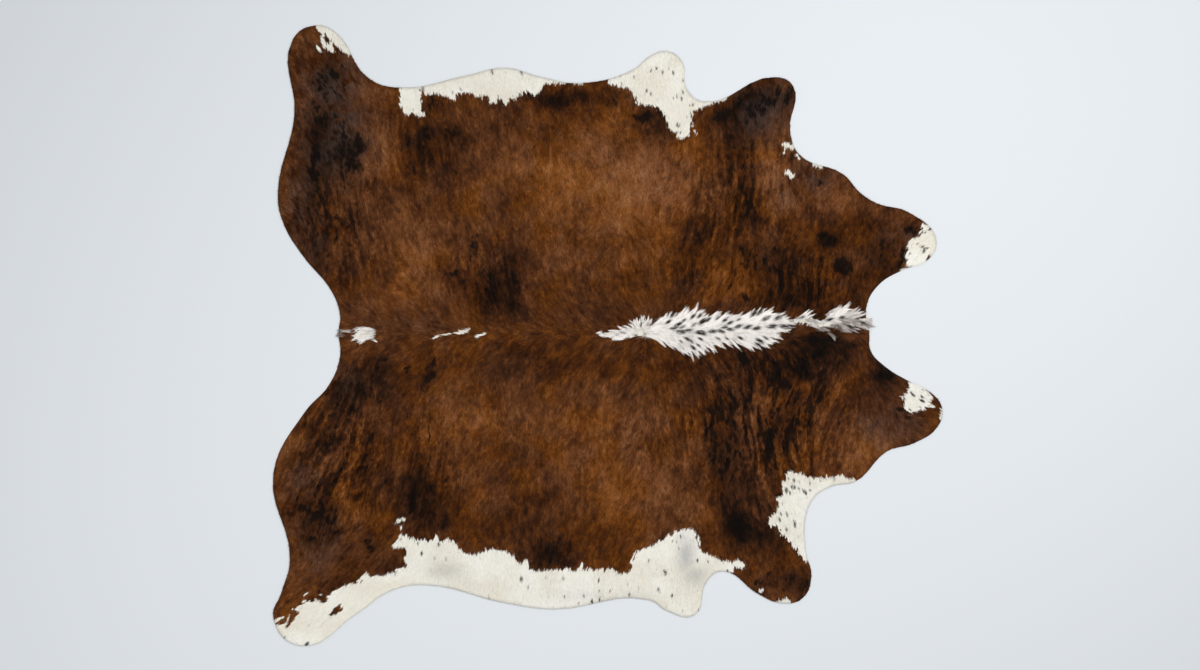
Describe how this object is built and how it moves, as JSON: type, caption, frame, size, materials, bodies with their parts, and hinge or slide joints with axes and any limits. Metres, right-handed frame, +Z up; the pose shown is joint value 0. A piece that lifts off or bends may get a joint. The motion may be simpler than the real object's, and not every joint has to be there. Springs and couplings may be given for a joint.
{
  "type": "cowhide rug",
  "caption": "Whole cowhide rug: one hide with short brown and white hair, cut round the legs and neck, lying flat on the floor.",
  "frame": {"origin": "middle of the box round the hide, on the surface that it lies on", "axes": "+X along the spine from the tail to the neck, +Y to the hide's left side, +Z up out of the hair"},
  "size_m": [2.2026, 2.0406, 0.006],
  "materials": {
    "brown_hair": "short brindled brown hair lying flat, with black smudges and a soft sheen",
    "white_hair": "short creamy white hair with a few grey and black flecks",
    "suede": "matte buff suede on the underside and the cut edge"
  },
  "bodies": {
    "root": {"cowhide": "brown_hair"}
  },
  "joints": []
}
